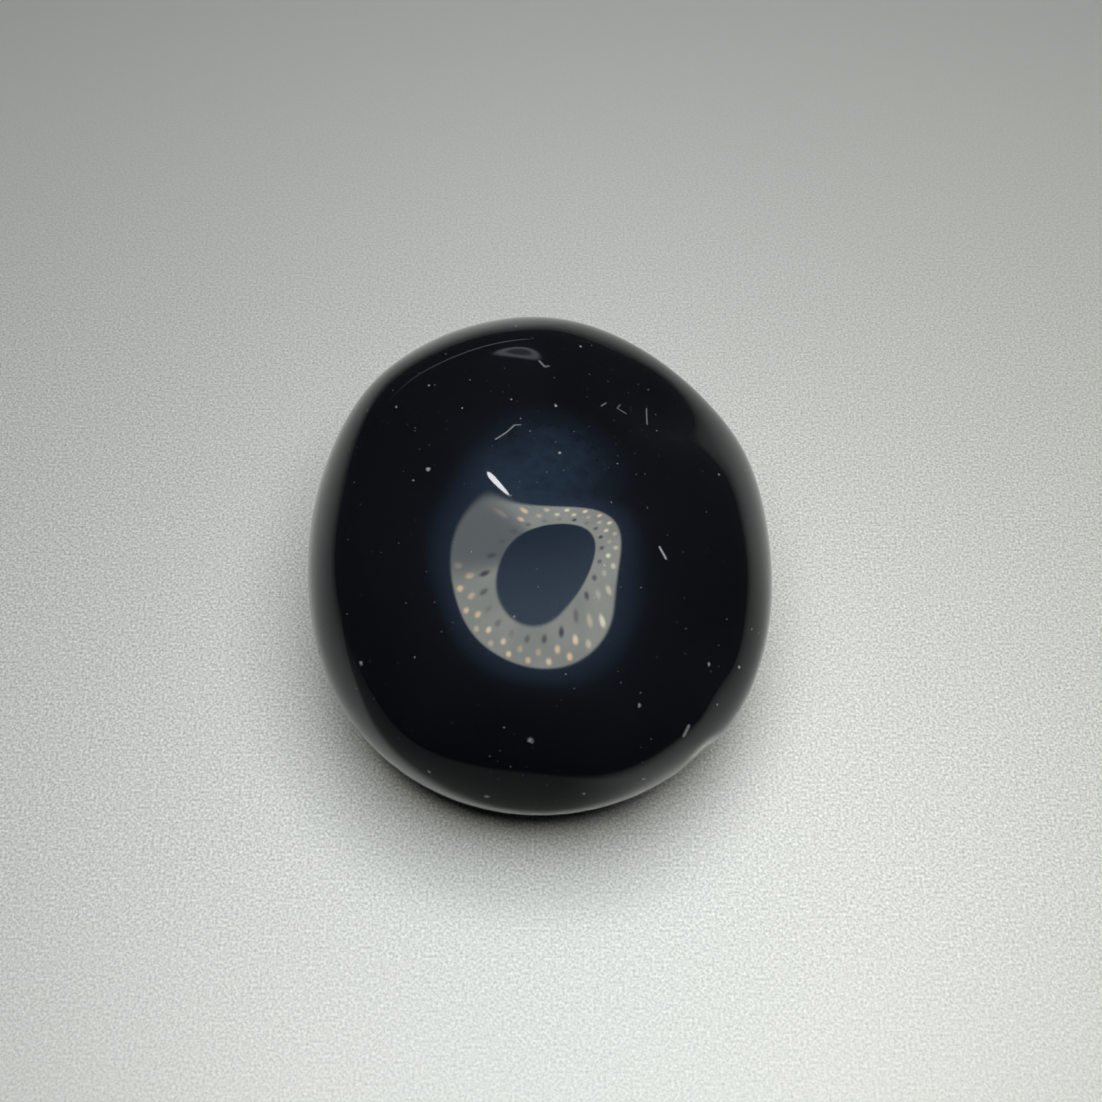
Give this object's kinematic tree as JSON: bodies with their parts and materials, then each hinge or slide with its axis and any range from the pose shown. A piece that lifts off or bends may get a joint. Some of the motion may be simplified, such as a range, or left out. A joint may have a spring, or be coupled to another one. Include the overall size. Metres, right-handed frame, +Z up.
{
  "type": "tumbled onyx stone",
  "caption": "Chunky tumbled pebble of black onyx, mirror-polished all over, lying on the small flat of its underside.",
  "frame": {"origin": "on the resting flat, under the middle of the stone's box", "axes": "+Z up from the flat, +Y along the stone's length and away from the viewer, +X to the viewer's right"},
  "size_m": [0.029, 0.034, 0.0153],
  "materials": {
    "onyx": "polished"
  },
  "bodies": {
    "root": {"onyx_stone": "onyx"}
  },
  "joints": []
}
